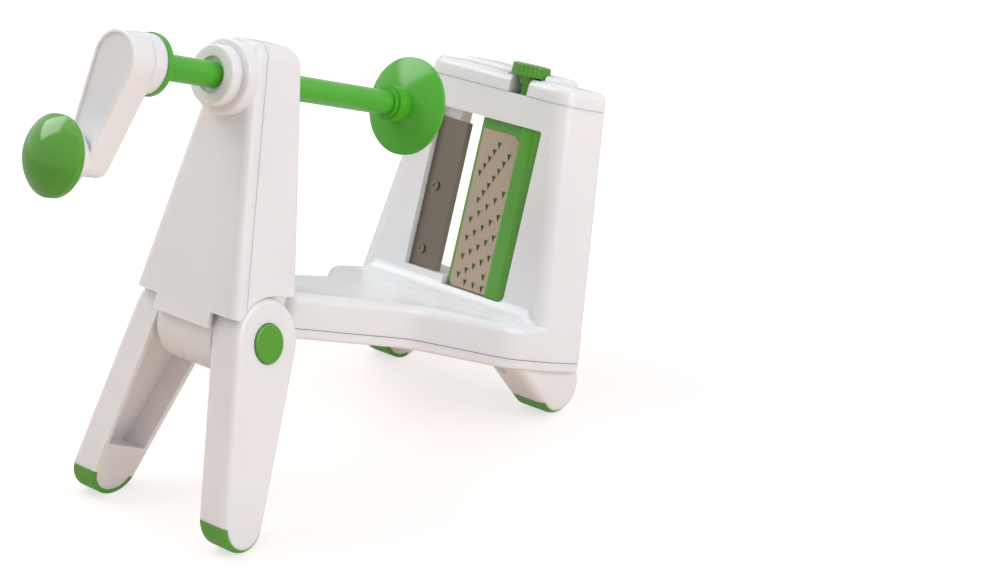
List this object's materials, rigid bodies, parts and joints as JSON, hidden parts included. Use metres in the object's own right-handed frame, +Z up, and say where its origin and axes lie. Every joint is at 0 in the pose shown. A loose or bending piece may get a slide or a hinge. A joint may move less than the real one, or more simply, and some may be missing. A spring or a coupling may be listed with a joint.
{
  "type": "hand cranked spiralizer",
  "caption": "Hand cranked vegetable spiralizer with a tilted base on folding legs, a sliding pronged crank shaft, a straight blade and a turning toothed blade cartridge.",
  "frame": {"origin": "centre of the whole object's box, on the surface that the feet stand on", "axes": "+X from the crank end to the blade end, +Z up"},
  "size_m": [0.3166, 0.136, 0.2388],
  "materials": {
    "white_plastic": "glossy white moulded plastic",
    "green_shaft_plastic": "glossy bright green plastic",
    "green_plastic": "glossy green plastic",
    "green_rubber": "satin green rubber",
    "blade_steel": "fine brushed stainless steel",
    "toothed_steel": "satin stainless steel",
    "plain_steel": "satin steel"
  },
  "bodies": {
    "base": {"base_cover": "white_plastic", "frame_cap": "white_plastic", "base_bottom": "white_plastic", "hinge_barrel": "white_plastic", "tower_front_shell": "white_plastic", "tower_rear_shell": "white_plastic", "rear_sole_near": "green_rubber", "rear_sole_far": "green_rubber", "flat_blade": "blade_steel", "blade_screws": "plain_steel", "base_screws": "plain_steel", "tower_screws": "plain_steel"},
    "selector": {"blade_cartridge": "green_plastic", "fine_plate": "toothed_steel", "coarse_plate": "toothed_steel", "selector_knob": "green_plastic"},
    "legs": {"leg_near": "white_plastic", "leg_far": "white_plastic", "leg_sole_near": "green_rubber", "leg_sole_far": "green_rubber", "hinge_axle": "plain_steel"},
    "button_near": {"button_near": "green_plastic"},
    "button_far": {"button_far": "green_plastic"},
    "sleeve": {"guide_sleeve": "white_plastic"},
    "crank": {"crank_shaft": "green_shaft_plastic", "prong_disc": "green_shaft_plastic", "prongs": "plain_steel", "crank_flange": "green_shaft_plastic", "crank_arm": "white_plastic", "knob_pin": "plain_steel"},
    "knob": {"knob_skirt": "white_plastic", "knob_dome": "green_plastic"}
  },
  "joints": [
    {"name": "legs_fold", "type": "hinge", "parent": "base", "child": "legs", "pos_m": [-0.06983, 0, 0.08606], "axis": [0, -1, 0], "range_deg": [0, 92]},
    {"name": "selector_turn", "type": "hinge", "parent": "base", "child": "selector", "pos_m": [0.10957, -0.0156, 0.0951], "axis": [0.3486, 0, 0.9373], "continuous": true},
    {"name": "crank_spin", "type": "hinge", "parent": "base", "child": "sleeve", "pos_m": [-0.02996, 0, 0.19329], "axis": [0.9373, 0, -0.3486], "continuous": true},
    {"name": "shaft_feed", "type": "slide", "parent": "sleeve", "child": "crank", "axis": [0.9373, 0, -0.3486], "range_m": [-0.063, 0.034]},
    {"name": "knob_spin", "type": "hinge", "parent": "crank", "child": "knob", "pos_m": [-0.14067, 0.01118, 0.18477], "axis": [0.9373, 0, -0.3486], "continuous": true},
    {"name": "button_near_press", "type": "slide", "parent": "legs", "child": "button_near", "axis": [-0.0952, 0.9766, -0.1926], "range_m": [0, 0.0025], "stiffness_N_per_m": 400, "springref_m": -0.001},
    {"name": "button_far_press", "type": "slide", "parent": "legs", "child": "button_far", "axis": [-0.0952, -0.9766, -0.1926], "range_m": [0, 0.0025], "stiffness_N_per_m": 400, "springref_m": -0.001}
  ]
}
